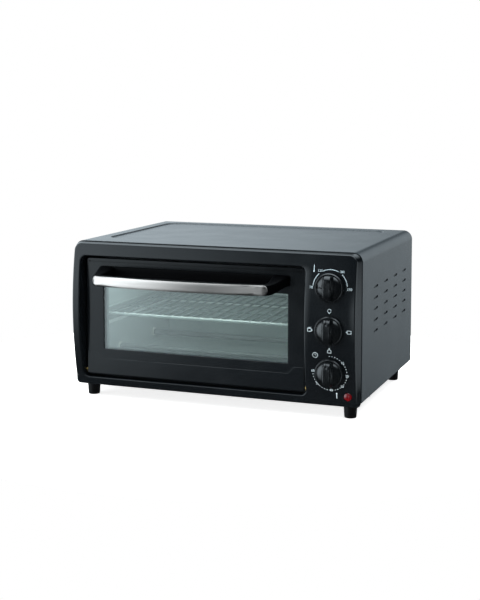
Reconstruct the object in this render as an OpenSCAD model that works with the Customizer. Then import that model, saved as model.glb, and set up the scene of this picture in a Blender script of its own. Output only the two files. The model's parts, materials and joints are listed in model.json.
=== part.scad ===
// Compact toaster oven: folded outer wrap, moulded front frame with three knobs,
// drop-down glass door with a bowed bar handle, wire rack, four heating rods.
// X to the right, -Y towards the user, +Z up. Origin: centre of the footprint, on the worktop.

/* [Case] */
// Outer width of the wrap
body_w = 390; // [380:1:410]
// Depth of the wrap, front edge to rear edge
body_d = 268; // [260:1:290]
// Height of the wrap above the feet
body_h = 185; // [183:1:195]
// Height of the feet below the wrap
foot_h = 22; // [18:1:30]
// Radius of the wrap's top corners
corner_r = 12; // [8:1:16]
// Thickness of the folded sheet
sheet = 1; // [0.8:0.1:1.2]
// Depth of the sunk panel in the top
top_sink = 2; // [1:0.5:3]

/* [Front] */
// How far the front frame's crown stands before the wrap
frame_crown = 18.5; // [16:0.5:22]
// Radius of the front frame's curve, seen from the side
frame_curve_r = 400; // [350:10:500]
// Wall thickness of the front moulding
frame_wall = 2.5; // [2:0.25:3]
// Distance between neighbouring knobs
knob_pitch = 52.75; // [50:0.25:54]
// Radius of a knob's skirt
knob_r = 19; // [16:0.2:19.4]
// Length of a knob, skirt to grip
knob_len = 14.5; // [12:0.5:18]

/* [Door] */
// Width of the door
door_w = 301.5; // [296:0.5:302]
// Height of the door
door_h = 154.5; // [152:0.5:155]
// Thickness of the door moulding
door_t = 8; // [7:0.5:8]
// Running gap between the door and the front frame
door_gap = 3; // [2.5:0.25:4]
// Clear width of the window
window_w = 253.6; // [240:0.2:256]
// Clear height of the window
window_h = 87; // [80:0.5:90]
// Length of the handle's bar
handle_w = 238; // [220:1:244]
// How far the handle's crown stands before the wrap
handle_reach = 61; // [55:0.5:66]
// How far the bar bows forward between its ends
handle_bow = 10; // [6:0.5:14]

/* [Oven] */
// Height of the rack's wires above the worktop
rack_z = 108; // [104:1:112]
// Spacing of the rack's wires
rack_pitch = 13.6; // [12:0.4:16]
// Radius of a heating rod
heater_r = 4; // [3:0.5:4.5]

/* [Hidden] */

$fn = 48;
// Colours
slate = [0.26, 0.29, 0.31];
black = [0.06, 0.06, 0.07];
steel = [0.78, 0.79, 0.80];
zinc = [0.62, 0.66, 0.66];
brass = [0.76, 0.60, 0.28];
ceramic = [0.90, 0.88, 0.82];

// Depth: the handle's crown and the cord gland are the two ends of the footprint
gland_out = 6;
total_d = handle_reach + body_d + gland_out;
yf = handle_reach - total_d / 2;
yr = yf + body_d;
half_w = body_w / 2;
top_z = foot_h + body_h;
fit = 0.1;
running = 0.05;

// Front frame
frame_z0 = foot_h - 6;
frame_low_r = 6;
frame_mid_z = 118;
frame_lip = 12;
control_w = 68.5;
opening_x1 = half_w - control_w;
opening_x0 = opening_x1 - door_w - 2 * door_gap;
opening_z0 = frame_z0 + 11.5;
opening_z1 = opening_z0 + door_h + 2 * door_gap + 0.4;
opening_r = 8;

// Door, hinged on two pins near its lower edge
door_x0 = opening_x0 + door_gap;
door_x1 = opening_x1 - door_gap;
door_cx = (door_x0 + door_x1) / 2;
door_z0 = opening_z0 + door_gap;
door_z1 = door_z0 + door_h;
door_y0 = yf - 3;
door_y1 = door_y0 + door_t;
hinge_y = yf + 1;
hinge_z = door_z0 + 4.5;
pin_r = 2;
window_x0 = door_x0 + 25;
window_x1 = window_x0 + window_w;
window_z0 = door_z0 + 34.5;
window_z1 = window_z0 + window_h;
glass_lap = 7;
glass_t = 3.2;
glass_y0 = door_y0 + 1.5;
retainer_y1 = yf + 11.5;

// Handle
bar_h = 13.5;
bar_t = 11;
trim_t = 1.2;
bar_z = 162.2;
bar_half = handle_w / 2;
bar_curve_r = (bar_half * bar_half + handle_bow * handle_bow) / (2 * handle_bow);
handle_foot = 12;
handle_foot_z = 168.2;

// Inner sheet metal
plate_y0 = yf + 13;
plate_y1 = plate_y0 + sheet;
liner_x0 = -168;
liner_x1 = 114;
liner_z0 = 38;
liner_z1 = 192;
liner_y1 = yf + 240;
shield_x = 119;
rail_w = 8;
rail_z = rack_z - 2.3;

// Controls
knob_x = 158.5;
knob_mid_z = 112.25;
knob_zs = [knob_mid_z + knob_pitch, knob_mid_z, knob_mid_z - knob_pitch];
shaft_r = 3;
bushing_r = 5;
bracket_y0 = yf - 6.5;
bracket_z0 = 49;
bracket_z1 = 190;
bracket_y1 = bracket_y0 + 1.2;
lamp_x = 180;
lamp_z = 31;
lens_r = 5;

// Heaters: front and rear pairs, above and below the rack
heater_ys = [yf + 72, yf + 182];
heater_zs = [54, 182];

// Feet
foot_x = 177;
foot_ys = [yf + 14, yf + 233];
screw_r = 1.6;
screw_head_r = 3.2;

// Cord entry, in the rear cover behind the controls
gland_x = 157;
gland_z = 50;
gland_r = 7;
cord_hole_r = 3.6;

// Places of the fixing screws
rear_screw_xz = [for (x = [-150, 0, 150]) for (z = [foot_h + 5, top_z - 5]) [x, z]];
base_screw_xy = [for (x = [-190.5, 190.5]) for (y = [yf + 45, yf + 205]) [x, y]];
door_screw_xz = [for (x = [window_x0 - 12, window_x1 + 12])
    for (z = [window_z0 + 6, window_z1 - 6]) [x, z]];
handle_screw_x = 112;

// The y of the front frame's curved face at height z
function face_y(z) = yf - frame_crown + (z - frame_mid_z) * (z - frame_mid_z) / (2 * frame_curve_r);
// The y of a knob's back: clear of the crown of the face anywhere under its skirt
function knob_y(z) = face_y(frame_mid_z
    + max(0, abs(z - frame_mid_z) - knob_r) * sign(z - frame_mid_z)) - 0.6;

module span(p0, p1) { translate(p0) cube(p1 - p0); }
module rod_x(x0, x1, y, z, r) { translate([x0, y, z]) rotate([0, 90, 0]) cylinder(r = r, h = x1 - x0); }
module rod_y(x, y0, y1, z, r) { translate([x, y1, z]) rotate([90, 0, 0]) cylinder(r = r, h = y1 - y0); }
module rod_z(x, y, z0, z1, r) { translate([x, y, z0]) cylinder(r = r, h = z1 - z0); }
// An outline drawn in X and Z, made solid from y0 to y1
module slab(y0, y1) { translate([0, y1, 0]) rotate([90, 0, 0]) linear_extrude(y1 - y0) children(); }
module rect(x0, z0, x1, z1) { translate([x0, z0]) square([x1 - x0, z1 - z0]); }
module round_rect(x0, z0, x1, z1, r) {
    rect(x0 + r, z0, x1 - r, z1);
    rect(x0, z0 + r, x1, z1 - r);
    for (x = [x0 + r, x1 - r]) for (z = [z0 + r, z1 - r]) translate([x, z]) circle(r);
}
// Rounded above, square below: the wrap's cross-section, drawn in by inset
module arch(inset) {
    r = corner_r - inset;
    rect(-half_w + inset, foot_h, half_w - inset, top_z - corner_r);
    rect(-half_w + corner_r, foot_h, half_w - corner_r, top_z - inset);
    for (x = [-half_w + corner_r, half_w - corner_r]) translate([x, top_z - corner_r]) circle(r);
}
// The front frame's outline: tighter corners below, drawn in by inset
module frame_outline(inset) {
    x = half_w - inset;
    round_rect(-x, frame_z0 + inset, x, top_z / 2, frame_low_r - inset);
    round_rect(-x, foot_h + 20, x, top_z - inset, corner_r - inset);
}
module frame_curve(inset) {
    translate([-half_w - 5, yf - frame_crown + frame_curve_r, frame_mid_z]) rotate([0, 90, 0])
        cylinder(r = frame_curve_r - inset, h = body_w + 10, $fn = 480);
}
// Pan-head screw along +Z, head below z = 0
module screw(length) {
    translate([0, 0, -1.6]) cylinder(r = screw_head_r, h = 1.6);
    cylinder(r = screw_r, h = length);
}

// Rows of short slots that let the heat out beside the controls
module louvre_slots(rows, columns, x0) {
    pitch = [51.5, 14.1];
    slot = [20, 3];
    first = [yf + 55, 99.5];
    for (row = [0:rows - 1]) for (column = [0:columns - 1]) {
        y = first.x + column * pitch.x;
        z = first.y + row * pitch.y;
        span([x0, y, z], [x0 + 5, y + slot.x, z + slot.y]);
    }
}

module outer_wrap() {
    sink = [[-167, yf + 30], [170, yr - 16]];
    color(slate) difference() {
        union() {
            difference() {
                slab(yf, yr) arch(0);
                slab(yf - 1, yr - sheet) arch(sheet);
                slab(yr - 2 * sheet, yr + 1) difference() {
                    arch(10);
                    rect(-half_w, foot_h - 1, half_w, foot_h + 10);
                }
            }
            span([sink[0].x - 1, sink[0].y - 1, top_z - top_sink - sheet],
                [sink[1].x + 1, sink[1].y + 1, top_z - 0.5]);
            for (side = [-1, 1]) translate([side * (half_w - 4), 0, 0])
                span([-4, yf, foot_h], [4, yr, foot_h + sheet]);
        }
        translate([0, 0, top_z - top_sink]) linear_extrude(5)
            round_rect(sink[0].x, sink[0].y, sink[1].x, sink[1].y, 10);
        louvre_slots(5, 4, half_w - 3);
        for (p = rear_screw_xz) rod_y(p.x, yr - 3, yr + 1, p.y, screw_r);
        for (p = base_screw_xy) rod_z(p.x, p.y, foot_h - 1, foot_h + 2, screw_r);
    }
}

module base_plate() {
    z = foot_h + sheet;
    color(zinc) difference() {
        union() {
            span([-half_w + sheet + fit, yf + 3, z], [half_w - sheet - fit, yr - 3, z + sheet]);
            for (side = [-1, 1]) translate([side * (half_w - 1.6 - fit), 0, 0])
                span([-0.5, yf + 20, z], [0.5, yr - 20, z + 14]);
        }
        for (x = [-120:30:60]) span([x, yf + 60, z - 1], [x + 5, yf + 200, z + 2]);
        for (x = [-foot_x, foot_x]) for (y = foot_ys) rod_z(x, y, z - 1, z + 2, 2);
        for (p = base_screw_xy) rod_z(p.x, p.y, z - 1, z + 2, screw_r);
    }
}

module rear_cover() {
    y = yr - 2 * sheet;
    color(slate) difference() {
        union() {
            slab(y, y + sheet) rect(-half_w + 2, foot_h + 2.4, half_w - 2, top_z - 2.4 - 10);
            slab(y, y + sheet) rect(-half_w + 14, top_z - 20, half_w - 14, top_z - 2.4);
            slab(y, yr + 2) round_rect(-150, 70, 130, 186, 10);
        }
        slab(y - 1, yr + 1) round_rect(-149, 71, 129, 185, 9);
        for (z = [90:12:166]) for (x = [-130:50:70]) span([x, y - 1, z], [x + 36, yr + 3, z + 4]);
        for (p = rear_screw_xz) rod_y(p.x, y - 1, yr + 1, p.y, screw_r);
        rod_y(gland_x, y - 1, yr + 1, gland_z, gland_r);
    }
}

// Door surround and control panel, one moulding
module front_frame() {
    z1 = top_z;
    color(black) difference() {
        union() {
            difference() {
                intersection() {
                    slab(yf - 30, yf) frame_outline(0);
                    frame_curve(0);
                }
                intersection() {
                    slab(yf - 30, yf + 1) frame_outline(frame_wall);
                    frame_curve(frame_wall);
                }
            }
            intersection() {
                slab(yf - 30, yf + frame_lip) round_rect(opening_x0 - frame_wall,
                    opening_z0 - frame_wall, opening_x1 + frame_wall, opening_z1 + frame_wall,
                    opening_r + frame_wall);
                frame_curve(0);
            }
            // Lip that locates inside the wrap
            slab(yf - 1, yf + 5) difference() {
                round_rect(-half_w + 1.6, foot_h + 2.6, half_w - 1.6, z1 - 1.6, corner_r - 1.6);
                round_rect(-half_w + 4, foot_h + 5, half_w - 4, z1 - 4, corner_r - 4);
            }
            // Socket behind the indicator lens
            rod_y(lamp_x, face_y(lamp_z) + 1, yf, lamp_z, lens_r + 2);
        }
        slab(yf - 40, yf + 20) round_rect(opening_x0, opening_z0, opening_x1, opening_z1, opening_r);
        for (z = knob_zs) rod_y(knob_x, yf - 30, yf, z, shaft_r + 1.2);
        rod_y(lamp_x, yf - 30, yf + 1, lamp_z, lens_r);
        rod_x(opening_x0 - 5, opening_x1 + 5, hinge_y, hinge_z, pin_r + 0.6);
    }
}

module front_plate() {
    // The mouth ends below the door's top edge, so nothing shows through the running gap
    mouth_top = 180;
    color(black) difference() {
        union() {
            slab(plate_y0, plate_y1)
                round_rect(-half_w + 3, foot_h + 2.4, half_w - 3, top_z - 3, corner_r - 3);
            // Return flange around the oven's mouth
            slab(plate_y0, plate_y1 + 4) rect(liner_x0 + 1.2, liner_z0 + 3, liner_x1 - 1.2, mouth_top + 1);
        }
        slab(plate_y0 - 1, plate_y1 + 5)
            rect(liner_x0 + 2.2, liner_z0 + 4, liner_x1 - 2.2, mouth_top);
        slab(plate_y0 - 1, plate_y1 + 1) rect(136, 38, 181, 190);
        rod_y(lamp_x, plate_y0 - 1, plate_y1 + 1, lamp_z, 4);
    }
}

module control_bracket() {
    color(zinc) difference() {
        union() {
            slab(bracket_y0, bracket_y1) rect(134, bracket_z0, 183, bracket_z1);
            for (x = [134, 181.8]) span([x, bracket_y0, bracket_z0], [x + 1.2, plate_y0, bracket_z1]);
        }
        for (z = knob_zs) rod_y(knob_x, bracket_y0 - 1, bracket_y1 + 1, z, bushing_r + fit);
    }
}

module cavity_liner() {
    t = 0.8;
    color(zinc) difference() {
        slab(plate_y1, liner_y1) rect(liner_x0, liner_z0 + t, liner_x1, liner_z1);
        slab(plate_y1 - 1, liner_y1 + 1) rect(liner_x0 + t, liner_z0, liner_x1 - t, liner_z1 - t);
        for (y = heater_ys) for (z = heater_zs) rod_x(liner_x0 - 1, liner_x1 + 1, y, z, 6);
        for (z = [rail_z - 10]) for (y = [yf + 40, yf + 210])
            rod_x(liner_x0 - 1, liner_x1 + 1, y, z + 5, 1.5);
    }
}

module cavity_back() {
    rib_z = 92;
    color(zinc) {
        slab(liner_y1, liner_y1 + 0.8) rect(liner_x0, liner_z0, liner_x1, liner_z1);
        rod_x(liner_x0 + 12, liner_x1 - 12, liner_y1, rib_z, 2.4);
    }
}

module cavity_floor() {
    color(zinc) union() {
        span([liner_x0, plate_y1, liner_z0], [liner_x1, liner_y1, liner_z0 + 0.8]);
        span([liner_x0 + 1, liner_y1 - 1.2, liner_z0], [liner_x1 - 1, liner_y1 - 0.4, liner_z0 + 7]);
    }
}

module crumb_tray() {
    z = liner_z0 + 1;
    x0 = liner_x0 + 4;
    x1 = liner_x1 - 4;
    y0 = plate_y1 + 7;
    y1 = liner_y1 - 4;
    color(zinc) difference() {
        span([x0, y0, z], [x1, y1, z + 5]);
        span([x0 + 0.8, y0 + 0.8, z + 0.8], [x1 - 0.8, y1 - 0.8, z + 6]);
    }
}

module heat_shield() {
    color(zinc) difference() {
        union() {
            span([shield_x, plate_y1, foot_h + 3], [shield_x + 0.8, yr - 4, liner_z1]);
            span([shield_x, plate_y1, foot_h + 2.2], [shield_x + 9, yr - 4, foot_h + 3]);
        }
        for (y = heater_ys) for (z = heater_zs) rod_x(shield_x - 1, shield_x + 2, y, z, 6.5);
        for (y = [yf + 120, yf + 150]) for (z = [90:14:160])
            span([shield_x - 1, y, z], [shield_x + 2, y + 20, z + 3]);
    }
}

// One angle rail on the oven's side wall; side is -1 for left, 1 for right
module rack_rail(side) {
    wall = side < 0 ? liner_x0 + 0.8 : liner_x1 - 0.8;
    color(zinc) translate([wall, 0, 0]) scale([-side, 1, 1]) union() {
        span([0, plate_y1 + 6, rail_z - 8], [1, liner_y1 - 6, rail_z]);
        span([0, plate_y1 + 6, rail_z - 1], [rail_w, liner_y1 - 6, rail_z]);
        span([0, plate_y1 + 6, rack_z + 6], [rail_w - 2, liner_y1 - 6, rack_z + 7]);
    }
}
module rack_rail_left() { rack_rail(-1); }
module rack_rail_right() { rack_rail(1); }

module wire_rack() {
    r = 2;
    x0 = liner_x0 + 0.8 + 5;
    x1 = liner_x1 - 0.8 - 5;
    y0 = yf + 22;
    y1 = liner_y1 - 9;
    mid = (x0 + x1) / 2;
    count = floor((x1 - x0 - 8) / rack_pitch / 2);
    color(steel) {
        for (x = [x0, x1]) rod_y(x, y0, y1, rack_z, r);
        for (y = [y0, y1]) rod_x(x0, x1, y, rack_z, r);
        for (x = [x0, x1]) for (y = [y0, y1]) translate([x, y, rack_z]) sphere(r);
        for (y = [y0 + 68, y1 - 68]) rod_x(x0, x1, y, rack_z - 0.9, 1.1);
        for (i = [-count:count]) rod_y(mid + i * rack_pitch, y0, y1, rack_z + 1, 1.1);
    }
}

module heater(y, z) {
    color(steel) {
        rod_x(liner_x0 - 10, liner_x1 + 12, y, z, heater_r);
        for (x = [[liner_x0 - 18, liner_x0 - 10], [liner_x1 + 12, liner_x1 + 20]])
            rod_x(x[0], x[1], y, z, 1.6);
    }
}
module upper_heater_front() { heater(heater_ys[0], heater_zs[1]); }
module upper_heater_rear() { heater(heater_ys[1], heater_zs[1]); }
module lower_heater_front() { heater(heater_ys[0], heater_zs[0]); }
module lower_heater_rear() { heater(heater_ys[1], heater_zs[0]); }

module heater_insulators() {
    color(ceramic) for (y = heater_ys) for (z = heater_zs) {
        difference() {
            union() {
                rod_x(liner_x0 - 8, liner_x0 + 3, y, z, 6);
                rod_x(liner_x0 - 3, liner_x0, y, z, 8);
            }
            rod_x(liner_x0 - 9, liner_x0 + 4, y, z, heater_r);
        }
        difference() {
            union() {
                rod_x(liner_x1 - 3, liner_x1 + 10, y, z, 6);
                rod_x(liner_x1, liner_x1 + 3, y, z, 8);
            }
            rod_x(liner_x1 - 4, liner_x1 + 11, y, z, heater_r);
        }
    }
}

// The raised lower field of the door, with its slanted ends
module lower_field() {
    z_side = window_z0 - 3.5;
    z_mid = z_side - 8.5;
    polygon([[door_x0 + 0.5, door_z0 + 0.5], [door_x1 - 0.5, door_z0 + 0.5], [door_x1 - 0.5, z_side],
        [door_x1 - 14.5, z_side], [door_x1 - 22.5, z_mid], [door_x0 + 23, z_mid],
        [door_x0 + 15, z_side], [door_x0 + 0.5, z_side]]);
}

module door_frame() {
    color(black) difference() {
        union() {
            slab(door_y0 + 0.6, door_y1) round_rect(door_x0, door_z0, door_x1, door_z1, 4);
            slab(door_y0, door_y0 + 1) round_rect(door_x0 + 0.8, door_z0 + 0.8,
                door_x1 - 0.8, door_z1 - 0.8, 4);
            slab(door_y0 - 0.5, door_y0 + 0.5) lower_field();
        }
        slab(door_y0 - 1, door_y1 + 1) rect(window_x0, window_z0, window_x1, window_z1);
        slab(glass_y0, door_y1 + 1) rect(window_x0 - glass_lap, window_z0 - glass_lap,
            window_x1 + glass_lap, window_z1 + glass_lap);
        slab(door_y0 - 1, door_y0 + 0.8) rect(door_x0 + 5, door_z1 - 4.4, door_x1 - 5, door_z1 - 3.6);
        rod_x(door_x0 - 1, door_x0 + 14, hinge_y, hinge_z, pin_r);
        rod_x(door_x1 - 14, door_x1 + 1, hinge_y, hinge_z, pin_r);
        for (p = door_screw_xz) rod_y(p.x, door_y1 - 5, door_y1 + 1, p.y, screw_r);
        for (s = [-1, 1]) rod_y(door_cx + s * handle_screw_x, door_y0 - 1, door_y1 + 1,
            handle_foot_z, screw_r);
        // Pockets for the heads of the handle's screws
        for (s = [-1, 1]) rod_y(door_cx + s * handle_screw_x, door_y1 - 2.5, door_y1 + 1,
            handle_foot_z, screw_head_r + 0.4);
    }
}

module door_glass() {
    lap = glass_lap - 0.4;
    color([0.55, 0.66, 0.66, 0.4]) slab(glass_y0, glass_y0 + glass_t)
        round_rect(window_x0 - lap, window_z0 - lap, window_x1 + lap, window_z1 + lap, 2);
}

// Pressed frame that holds the glass from behind
module glass_retainer() {
    lap = glass_lap - 0.4;
    color(zinc) difference() {
        union() {
            slab(glass_y0 + glass_t, retainer_y1) rect(window_x0 - 1, window_z0 - 1,
                window_x1 + 1, window_z1 + 1);
            slab(glass_y0 + glass_t, door_y1) rect(window_x0 - lap, window_z0 - lap,
                window_x1 + lap, window_z1 + lap);
            slab(door_y1, door_y1 + 1) rect(window_x0 - 18, window_z0 - 9,
                window_x1 + 18, window_z1 + 9);
        }
        slab(glass_y0, retainer_y1 + 1) rect(window_x0, window_z0, window_x1, window_z1);
        for (p = door_screw_xz) rod_y(p.x, door_y1 - 1, door_y1 + 2, p.y, screw_r);
    }
}

module door_screws() {
    color(steel) for (p = door_screw_xz)
        translate([p.x, door_y1 + 1, p.y]) rotate([90, 0, 0]) screw(5.5);
}

// The bar's plan: a band between two arcs, cut square at its ends
module bar_band(front_inset, thick, half) {
    cy = yf - handle_reach + bar_curve_r;
    intersection() {
        translate([door_cx, cy]) difference() {
            circle(bar_curve_r - front_inset, $fn = 720);
            circle(bar_curve_r - front_inset - thick, $fn = 720);
        }
        translate([door_cx - half, yf - handle_reach - 1]) square([2 * half, 2 * bar_t + handle_bow]);
    }
}

module handle_body() {
    foot_y = door_y0;
    bar_y = yf - handle_reach + handle_bow + bar_t;
    color(black) difference() {
        union() {
            translate([0, 0, bar_z - bar_h / 2]) linear_extrude(bar_h)
                bar_band(trim_t, bar_t - trim_t, bar_half - 1);
            for (s = [-1, 1]) hull() {
                translate([door_cx + s * (bar_half - 8), bar_y - 5, bar_z - bar_h / 2])
                    cylinder(r = 6, h = bar_h, $fn = 32);
                translate([door_cx + s * (bar_half - 4), foot_y - 1, handle_foot_z])
                    cube([30, 2, 13], center = true);
            }
            slab(foot_y - 3, foot_y) round_rect(door_cx - bar_half - handle_foot, handle_foot_z - 6.5,
                door_cx + bar_half + handle_foot, handle_foot_z + 6.5, 5);
        }
        for (s = [-1, 1]) rod_y(door_cx + s * handle_screw_x, foot_y - 14, foot_y + 1,
            handle_foot_z, screw_r);
    }
}

module handle_trim() {
    color(steel) translate([0, 0, bar_z - bar_h / 2 + 0.4]) linear_extrude(bar_h - 0.8)
        bar_band(0, trim_t, bar_half);
}

module handle_screws() {
    color(steel) for (s = [-1, 1])
        translate([door_cx + s * handle_screw_x, door_y1 - 2.5, handle_foot_z])
            rotate([90, 0, 0]) screw(16);
}

module hinge_pin(x0, x1) { color(brass) rod_x(x0, x1, hinge_y, hinge_z, pin_r); }
module hinge_pin_left() { hinge_pin(opening_x0 - 9, door_x0 + 13); }
module hinge_pin_right() { hinge_pin(door_x1 - 13, opening_x1 + 9); }

module hinge_washers() {
    color(brass) for (x = [[door_x0 - 1.4, door_x0], [door_x1, door_x1 + 1.4]]) difference() {
        rod_x(x[0], x[1], hinge_y, hinge_z, 3.4);
        rod_x(x[0] - 1, x[1] + 1, hinge_y, hinge_z, pin_r + running);
    }
}

// Angle bracket that carries a pin; side is -1 for left, 1 for right
module hinge_bracket(side) {
    wall = side < 0 ? opening_x0 - 5 : opening_x1 + 5;
    color(steel) translate([wall, 0, 0]) difference() {
        scale([side, 1, 1]) union() {
            span([0, yf - 3, hinge_z - 5], [1.5, plate_y0, hinge_z + 12]);
            span([0, plate_y0 - 1.2, hinge_z - 5], [6.5, plate_y0, hinge_z + 12]);
        }
        rod_x(-3, 3, hinge_y, hinge_z, pin_r + running);
    }
}
module hinge_bracket_left() { hinge_bracket(-1); }
module hinge_bracket_right() { hinge_bracket(1); }

// Skirt, shallow dome, grip bar and pointer groove; the pointer is at angle from 12 o'clock
module knob(z, pointer) {
    back = knob_y(z);
    color(black) translate([knob_x, back, z]) rotate([90, 0, 0]) difference() {
        union() {
            cylinder(r = knob_r, h = 3.5);
            translate([0, 0, 3.5]) cylinder(r1 = knob_r - 1.6, r2 = knob_r - 4.4, h = 5);
            intersection() {
                cylinder(r = knob_r - 2.4, h = knob_len);
                translate([-4.5, -20, 0]) cube([9, 40, knob_len]);
            }
        }
        translate([0, 0, -1]) cylinder(r = shaft_r, h = 10);
        rotate([0, 0, -pointer]) translate([-0.8, 9.5, 7]) cube([1.6, 6, 10]);
    }
}
module thermostat_knob() { knob(knob_zs[0], -90); }
module function_knob() { knob(knob_zs[1], 0); }
module timer_knob() { knob(knob_zs[2], 0); }

module control_shaft(z) { color(steel) rod_y(knob_x, knob_y(z) - 9, bracket_y1 + 8, z, shaft_r); }
module thermostat_shaft() { control_shaft(knob_zs[0]); }
module function_shaft() { control_shaft(knob_zs[1]); }
module timer_shaft() { control_shaft(knob_zs[2]); }

// Threaded bushing and case of a control; size is [width, depth, height]
module control_case(z, size, tone) {
    color(tone) difference() {
        union() {
            span([knob_x - size.x / 2, bracket_y1, z - size.z / 2],
                [knob_x + size.x / 2, bracket_y1 + size.y, z + size.z / 2]);
            rod_y(knob_x, bracket_y0 - 4, bracket_y1 + 1, z, bushing_r);
        }
        rod_y(knob_x, bracket_y0 - 5, bracket_y1 + 8.5, z, shaft_r + running);
    }
}
module thermostat_body() {
    control_case(knob_zs[0], [28, 20, 30], ceramic);
    color(steel) rod_y(knob_x - 8, bracket_y1 + 20, bracket_y1 + 26, knob_zs[0], 2.5);
}
module function_switch() {
    control_case(knob_zs[1], [34, 26, 34], black);
    color(steel) for (z = [-9, 0, 9])
        span([knob_x - 12, bracket_y1 + 26, knob_zs[1] + z], [knob_x - 5, bracket_y1 + 33, knob_zs[1] + z + 0.8]);
}
module timer_body() { control_case(knob_zs[2], [40, 28, 40], steel); }

module control_nuts() {
    color(steel) for (z = knob_zs) difference() {
        translate([knob_x, bracket_y0, z]) rotate([90, 0, 0]) cylinder(r = 8, h = 3, $fn = 6);
        rod_y(knob_x, bracket_y0 - 4, bracket_y0 + 1, z, bushing_r);
    }
}

module timer_bell() {
    y = bracket_y1 + 28;
    z = knob_zs[2];
    color(steel) {
        rod_y(knob_x, y, y + 9, z, 1.5);
        difference() {
            rod_y(knob_x, y + 3, y + 9, z, 17);
            rod_y(knob_x, y + 2, y + 8, z, 16);
        }
    }
}

module indicator_lens() {
    y = face_y(lamp_z);
    color("red") union() {
        rod_y(lamp_x, y - 1.2, y + 5, lamp_z, lens_r - fit);
        rod_y(lamp_x, y - 2, y, lamp_z, lens_r - 1);
    }
}

module indicator_lamp() {
    y = face_y(lamp_z) + 5;
    color([0.95, 0.7, 0.6]) rod_y(lamp_x, y, y + 18, lamp_z, 3);
}

module foot(x, y) {
    color(black) difference() {
        translate([x, y, 0]) cylinder(r1 = 7.2, r2 = 9, h = foot_h + sheet);
        rod_z(x, y, -1, 5, 3.6);
        rod_z(x, y, 0, foot_h + 2, 2);
    }
}
module foot_front_left() { foot(-foot_x, foot_ys[0]); }
module foot_front_right() { foot(foot_x, foot_ys[0]); }
module foot_rear_left() { foot(-foot_x, foot_ys[1]); }
module foot_rear_right() { foot(foot_x, foot_ys[1]); }

module foot_screws() {
    color(steel) for (x = [-foot_x, foot_x]) for (y = foot_ys) {
        rod_z(x, y, 5 - 2.4, 5, 3.2);
        rod_z(x, y, 5, foot_h + 2 * sheet, 1.9);
    }
}

module cord_gland() {
    color(black) difference() {
        union() {
            rod_y(gland_x, yr - 2 * sheet - 8, yr - sheet, gland_z, gland_r);
            rod_y(gland_x, yr - sheet, yr + 2, gland_z, gland_r + 3);
            rod_y(gland_x, yr + 2, yr + gland_out, gland_z, gland_r - 1);
        }
        rod_y(gland_x, yr - 12, yr + gland_out + 1, gland_z, cord_hole_r);
    }
}

module terminal_block() {
    color(ceramic) difference() {
        span([134, yr - 60, foot_h + 3], [150, yr - 34, foot_h + 17]);
        for (y = [yr - 54, yr - 47, yr - 40]) rod_x(133, 151, y, foot_h + 11, 2);
    }
}

// Bundled leads from the terminal block to the controls
module wiring_harness() {
    x = 170;
    y = yf + 50;
    z = foot_h + 8;
    r = 2.4;
    color([0.85, 0.85, 0.82]) {
        rod_x(150, x, yr - 47, z + 3, r);
        rod_y(x, y, yr - 47, z + 3, r);
        rod_z(x, y, z + 3, knob_zs[0], r);
        for (p = [[x, yr - 47, z + 3], [x, y, z + 3], [x, y, knob_zs[0]]]) translate(p) sphere(r);
        rod_y(x, bracket_y1 + 20, y, knob_zs[0], r);
        rod_y(x, bracket_y1 + 26, y, knob_zs[1], r);
        rod_y(x, bracket_y1 + 28, y, knob_zs[2] + 18.5, r);
    }
}

module thermal_cutout() {
    y = yf + 100;
    color(steel) {
        span([shield_x + 0.8, y - 14, 128], [shield_x + 2, y + 14, 136]);
        rod_x(shield_x + 2, shield_x + 9, y, 132, 8);
    }
}

module rear_screws() {
    color(steel) for (p = rear_screw_xz) translate([p.x, yr, p.y]) rotate([90, 0, 0]) screw(8);
}

module base_screws() {
    color(steel) for (p = base_screw_xy) translate([p.x, p.y, foot_h]) screw(7);
}

outer_wrap();
base_plate();
rear_cover();
front_frame();
front_plate();
control_bracket();
cavity_liner();
cavity_back();
cavity_floor();
crumb_tray();
heat_shield();
rack_rail_left();
rack_rail_right();
wire_rack();
upper_heater_front();
upper_heater_rear();
lower_heater_front();
lower_heater_rear();
heater_insulators();
door_frame();
door_glass();
glass_retainer();
door_screws();
handle_body();
handle_trim();
handle_screws();
hinge_pin_left();
hinge_pin_right();
hinge_washers();
hinge_bracket_left();
hinge_bracket_right();
thermostat_knob();
function_knob();
timer_knob();
thermostat_shaft();
function_shaft();
timer_shaft();
thermostat_body();
function_switch();
timer_body();
control_nuts();
timer_bell();
indicator_lens();
indicator_lamp();
foot_front_left();
foot_front_right();
foot_rear_left();
foot_rear_right();
foot_screws();
cord_gland();
terminal_block();
wiring_harness();
thermal_cutout();
rear_screws();
base_screws();
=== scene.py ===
import json
from math import asin, cos, hypot, pi, radians, sin, sqrt

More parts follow.
